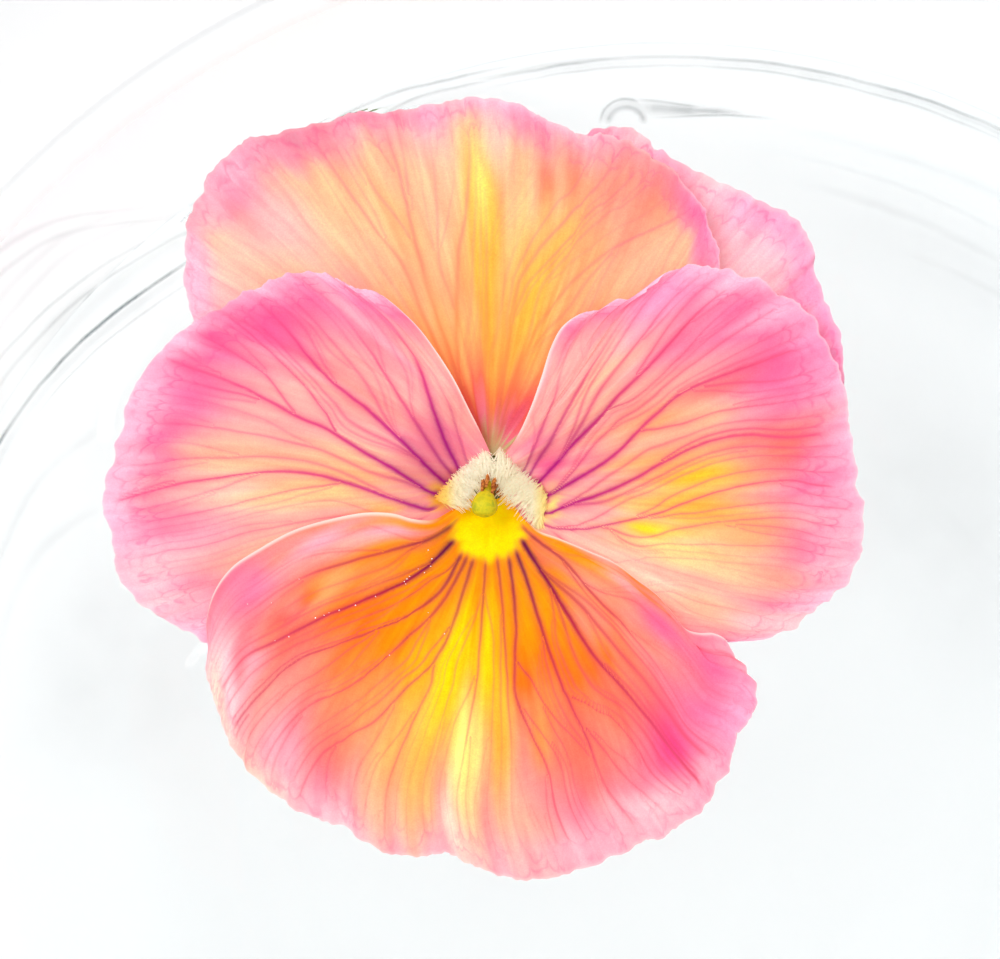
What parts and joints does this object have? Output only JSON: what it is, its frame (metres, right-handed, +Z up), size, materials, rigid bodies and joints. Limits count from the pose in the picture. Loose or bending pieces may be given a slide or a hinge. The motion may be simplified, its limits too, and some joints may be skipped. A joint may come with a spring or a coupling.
{
  "type": "pansy flower in bowl",
  "caption": "Ruffled pink, orange and yellow pansy blossom floating face up on the water of a clear round glass bowl.",
  "frame": {"origin": "on the bowl's axis, at the plane of its foot", "axes": "+Z up along the bowl's axis; +Y from the bowl's axis towards the side where the blossom floats, which is also where its two upper petals point"},
  "size_m": [0.1454, 0.1454, 0.0457],
  "materials": {
    "bowl_glass": "gloss",
    "water": "gloss",
    "petal_pink": "satin",
    "petal_peach": "satin",
    "petal_orange": "satin",
    "green": "satin",
    "stigma": "satin",
    "anther": "matte"
  },
  "bodies": {
    "root": {"bowl": "bowl_glass", "water": "water", "petal_upper_right": "petal_pink", "petal_upper_left": "petal_peach", "petal_side_left": "petal_pink", "petal_side_right": "petal_pink", "petal_lower": "petal_orange", "calyx": "green", "stem": "green", "pistil": "stigma", "stamens": "anther"}
  },
  "joints": []
}
